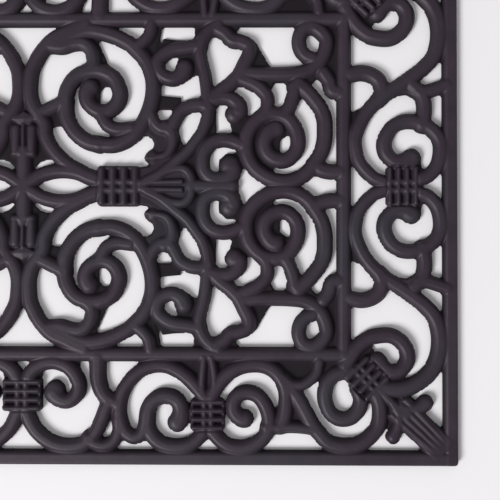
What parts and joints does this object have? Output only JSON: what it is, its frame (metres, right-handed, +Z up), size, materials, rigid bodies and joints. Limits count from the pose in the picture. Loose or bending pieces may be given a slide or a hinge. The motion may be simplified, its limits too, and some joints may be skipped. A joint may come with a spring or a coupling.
{
  "type": "rubber door mat",
  "caption": "Rectangular black rubber door mat, a flat open grille of moulded wrought-iron style scrollwork with an inner frame, ribbed collars and leaves in the corners.",
  "frame": {"origin": "centre of the flat underside, which lies on the floor", "axes": "+X along the long side, +Y along the short side towards the back, +Z up"},
  "size_m": [0.7, 0.448, 0.008],
  "materials": {
    "rubber": "matt black moulded rubber with a faint sheen on the rounded tops"
  },
  "bodies": {
    "root": {"rim_front": "rubber", "rim_back": "rubber", "rim_right": "rubber", "rim_left": "rubber", "frame_front": "rubber", "frame_back": "rubber", "frame_right": "rubber", "frame_left": "rubber", "centre_cross": "rubber", "bud_collar_right": "rubber", "bud_collar_left": "rubber", "middle_collar_front": "rubber", "middle_collar_back": "rubber", "side_collar_right": "rubber", "side_collar_left": "rubber", "palmette_collar_front_right": "rubber", "palmette_collar_front_left": "rubber", "palmette_collar_back_right": "rubber", "palmette_collar_back_left": "rubber", "corner_collar_front_right": "rubber", "corner_collar_front_left": "rubber", "corner_collar_back_right": "rubber", "corner_collar_back_left": "rubber", "leaf_front_right": "rubber", "leaf_front_left": "rubber", "leaf_back_right": "rubber", "leaf_back_left": "rubber", "field_arm_front_right": "rubber", "field_arm_front_left": "rubber", "field_arm_back_right": "rubber", "field_arm_back_left": "rubber", "field_whorl_front_right": "rubber", "field_whorl_front_left": "rubber", "field_whorl_back_right": "rubber", "field_whorl_back_left": "rubber", "field_spiral_front_right": "rubber", "field_spiral_front_left": "rubber", "field_spiral_back_right": "rubber", "field_spiral_back_left": "rubber", "field_stem_front_right": "rubber", "field_stem_front_left": "rubber", "field_stem_back_right": "rubber", "field_stem_back_left": "rubber", "border_scroll_front_right": "rubber", "border_scroll_front_left": "rubber", "border_scroll_back_right": "rubber", "border_scroll_back_left": "rubber", "border_ring_front_right": "rubber", "border_ring_front_left": "rubber", "border_ring_back_right": "rubber", "border_ring_back_left": "rubber", "side_sweep_front_right": "rubber", "side_sweep_front_left": "rubber", "side_sweep_back_right": "rubber", "side_sweep_back_left": "rubber", "corner_scroll_front_right": "rubber", "corner_scroll_front_left": "rubber", "corner_scroll_back_right": "rubber", "corner_scroll_back_left": "rubber"}
  },
  "joints": []
}
